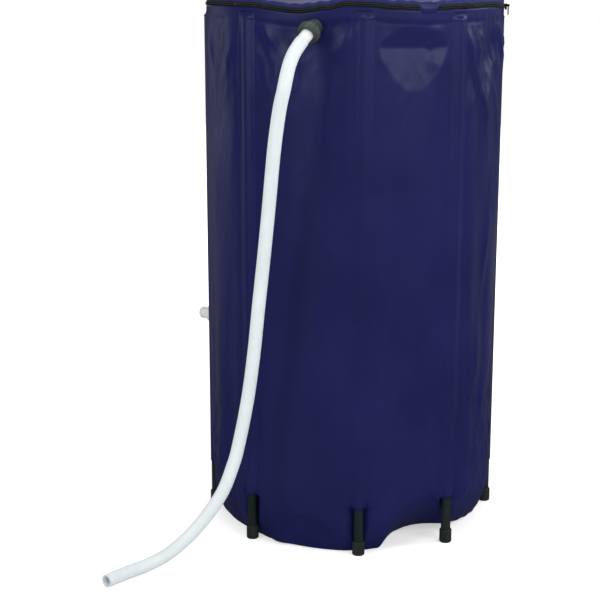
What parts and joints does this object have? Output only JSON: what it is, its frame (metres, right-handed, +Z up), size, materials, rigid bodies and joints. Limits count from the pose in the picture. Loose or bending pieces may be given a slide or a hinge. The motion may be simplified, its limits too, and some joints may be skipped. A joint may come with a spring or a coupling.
{
  "type": "collapsible water barrel",
  "caption": "Upright cylindrical water barrel of coated fabric, held by rods in sleeves, with a zipped lid, a strainer inlet, an overflow hose and a ball tap.",
  "frame": {"origin": "middle of the base panel on the floor", "axes": "+Z up the barrel's axis, -Y towards the front where the overflow hose leaves, +X to the right"},
  "size_m": [0.5668, 0.569, 0.7968],
  "materials": {
    "navy_fabric": "satin coated fabric",
    "zip_fabric": "woven tape",
    "zip_coil": "moulded coil",
    "zip_metal": "black lacquer",
    "steel": "satin",
    "black_plastic": "fine grain",
    "rod_plastic": "satin",
    "black_rubber": "matt",
    "grey_plastic": "fine grain",
    "white_plastic": "satin",
    "hose_plastic": "smooth",
    "chrome_ball": "polished",
    "lever_plastic": "satin"
  },
  "bodies": {
    "tank": {"tank_wall": "navy_fabric", "base_panel": "navy_fabric", "wall_seam_strip": "navy_fabric", "rod_sleeves": "navy_fabric", "zip_tape_tank": "zip_fabric", "zip_coil_tank": "zip_coil", "zip_end_stops": "zip_metal", "lid_hinge_patch": "navy_fabric", "overflow_gasket": "black_rubber", "overflow_elbow": "grey_plastic", "overflow_washer": "black_rubber", "overflow_locknut": "grey_plastic", "overflow_hose_tail": "white_plastic", "overflow_hose": "hose_plastic", "tap_gasket": "black_rubber", "tap_body": "white_plastic", "tap_nozzle": "white_plastic", "tap_seats": "grey_plastic", "tap_washer": "black_rubber", "tap_locknut": "white_plastic"},
    "lid": {"lid_panel": "navy_fabric", "zip_tape_lid": "zip_fabric", "zip_coil_lid": "zip_coil", "inlet_ring": "black_plastic", "inlet_clamp_ring": "black_plastic", "inlet_rivets": "steel"},
    "strainer": {"strainer_basket": "black_plastic"},
    "zip_slider": {"zip_slider": "zip_metal"},
    "pull_tab": {"pull_tab": "zip_metal"},
    "union_nut": {"overflow_union_nut": "grey_plastic"},
    "tap_valve": {"tap_ball": "chrome_ball", "tap_handle": "lever_plastic", "tap_handle_screw": "steel"},
    "rod_1": {"support_rod_1": "rod_plastic", "foot_cap_1": "black_rubber", "top_plug_1": "black_plastic"},
    "rod_2": {"support_rod_2": "rod_plastic", "foot_cap_2": "black_rubber", "top_plug_2": "black_plastic"},
    "rod_3": {"support_rod_3": "rod_plastic", "foot_cap_3": "black_rubber", "top_plug_3": "black_plastic"},
    "rod_4": {"support_rod_4": "rod_plastic", "foot_cap_4": "black_rubber", "top_plug_4": "black_plastic"},
    "rod_5": {"support_rod_5": "rod_plastic", "foot_cap_5": "black_rubber", "top_plug_5": "black_plastic"},
    "rod_6": {"support_rod_6": "rod_plastic", "foot_cap_6": "black_rubber", "top_plug_6": "black_plastic"},
    "rod_7": {"support_rod_7": "rod_plastic", "foot_cap_7": "black_rubber", "top_plug_7": "black_plastic"},
    "rod_8": {"support_rod_8": "rod_plastic", "foot_cap_8": "black_rubber", "top_plug_8": "black_plastic"}
  },
  "joints": [
    {"name": "lid_open", "type": "hinge", "parent": "tank", "child": "lid", "pos_m": [0.10015, -0.19656, 0.777], "axis": [0.891, 0.454, 0], "range_deg": [0, 110]},
    {"name": "filter_lift", "type": "slide", "parent": "lid", "child": "strainer", "axis": [0, 0, 1], "range_m": [0, 0.06]},
    {"name": "slider_run", "type": "hinge", "parent": "tank", "child": "zip_slider", "pos_m": [0, 0, 0.777], "axis": [0, 0, 1], "range_deg": [-33, 287]},
    {"name": "pull_tab_flip", "type": "hinge", "parent": "zip_slider", "child": "pull_tab", "pos_m": [0.22188, -0.03912, 0.7775], "axis": [-0.1736, -0.9848, 0], "range_deg": [0, 120]},
    {"name": "tap_turn", "type": "hinge", "parent": "tank", "child": "tap_valve", "pos_m": [-0.21796, 0.1063, 0.28], "axis": [0, 0, 1], "range_deg": [0, 90]},
    {"name": "overflow_nut_turn", "type": "hinge", "parent": "tank", "child": "union_nut", "pos_m": [-0.05864, -0.22542, 0.74843], "axis": [-0.4345, -0.7134, -0.5498], "continuous": true},
    {"name": "withdraw_rod_1", "type": "slide", "parent": "tank", "child": "rod_1", "axis": [0, 0, 1], "range_m": [-0.695, 0]},
    {"name": "withdraw_rod_2", "type": "slide", "parent": "tank", "child": "rod_2", "axis": [0, 0, 1], "range_m": [-0.695, 0]},
    {"name": "withdraw_rod_3", "type": "slide", "parent": "tank", "child": "rod_3", "axis": [0, 0, 1], "range_m": [-0.695, 0]},
    {"name": "withdraw_rod_4", "type": "slide", "parent": "tank", "child": "rod_4", "axis": [0, 0, 1], "range_m": [-0.695, 0]},
    {"name": "withdraw_rod_5", "type": "slide", "parent": "tank", "child": "rod_5", "axis": [0, 0, 1], "range_m": [-0.695, 0]},
    {"name": "withdraw_rod_6", "type": "slide", "parent": "tank", "child": "rod_6", "axis": [0, 0, 1], "range_m": [-0.695, 0]},
    {"name": "withdraw_rod_7", "type": "slide", "parent": "tank", "child": "rod_7", "axis": [0, 0, 1], "range_m": [-0.695, 0]},
    {"name": "withdraw_rod_8", "type": "slide", "parent": "tank", "child": "rod_8", "axis": [0, 0, 1], "range_m": [-0.695, 0]}
  ]
}
